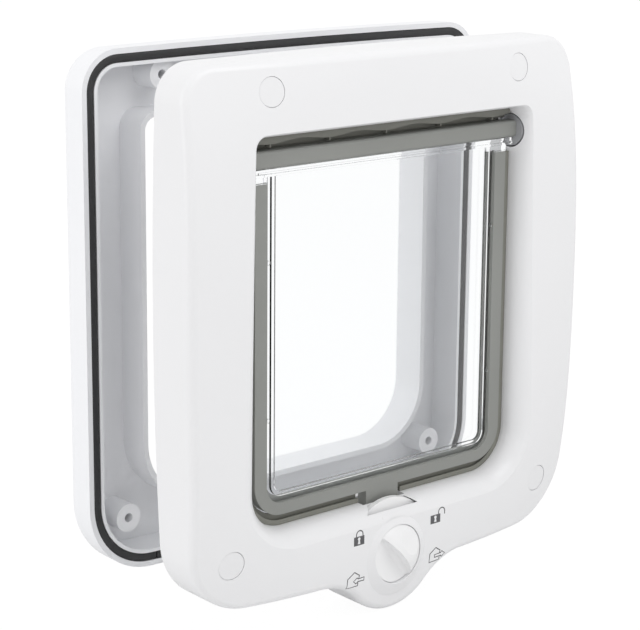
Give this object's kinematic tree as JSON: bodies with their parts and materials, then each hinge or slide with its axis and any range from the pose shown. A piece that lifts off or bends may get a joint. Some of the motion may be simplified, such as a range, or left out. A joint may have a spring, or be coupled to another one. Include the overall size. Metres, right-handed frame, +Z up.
{
  "type": "cat flap",
  "caption": "Four way cat flap for a door: hollow front frame with knob lock and chin, clear hinged flap in a grey edge strip, and a sealed outdoor frame across the door gap.",
  "frame": {"origin": "middle of the front frame's rim, in the plane that lies on the indoor face of the door", "axes": "+X right as seen from indoors, +Y outdoors through the door, +Z up"},
  "size_m": [0.2278, 0.0979, 0.2518],
  "materials": {
    "white_plastic": "gloss",
    "white_cap": "gloss",
    "white_knob": "gloss",
    "white_lock": "satin",
    "grey_plastic": "satin",
    "clear_plastic": "clear gloss",
    "grey_seal": "matte",
    "black_seal": "matte",
    "steel": "plated",
    "magnet": "nickel plated"
  },
  "bodies": {
    "frames": {"front_frame": "white_plastic", "rear_frame": "white_plastic", "screw_cap_top_left": "white_cap", "screw_cap_top_right": "white_cap", "screw_cap_bottom_left": "white_cap", "screw_cap_bottom_right": "white_cap", "seal_top": "grey_seal", "seal_left": "grey_seal", "seal_right": "grey_seal", "strike_magnet": "magnet", "lock_cover": "white_lock", "cover_screws": "steel", "detent_spring": "steel", "rear_seal": "black_seal"},
    "flap": {"hinge_bar": "grey_plastic", "hinge_pin_left": "steel", "hinge_pin_right": "steel", "hinge_disc_left": "grey_plastic", "hinge_disc_right": "grey_plastic", "flap_panel": "clear_plastic", "edge_strip": "grey_plastic", "flap_magnet": "magnet"},
    "lock": {"lock_wheel": "white_lock", "knob": "white_knob", "knob_screw": "steel"}
  },
  "joints": [
    {"name": "flap_swing", "type": "hinge", "parent": "frames", "child": "flap", "pos_m": [0, -0.0145, 0.0737], "axis": [1, 0, 0], "range_deg": [0, 80]},
    {"name": "lock_turn", "type": "hinge", "parent": "frames", "child": "lock", "pos_m": [0, -0.02, -0.1075], "axis": [0, 1, 0], "range_deg": [-90, 180]}
  ]
}
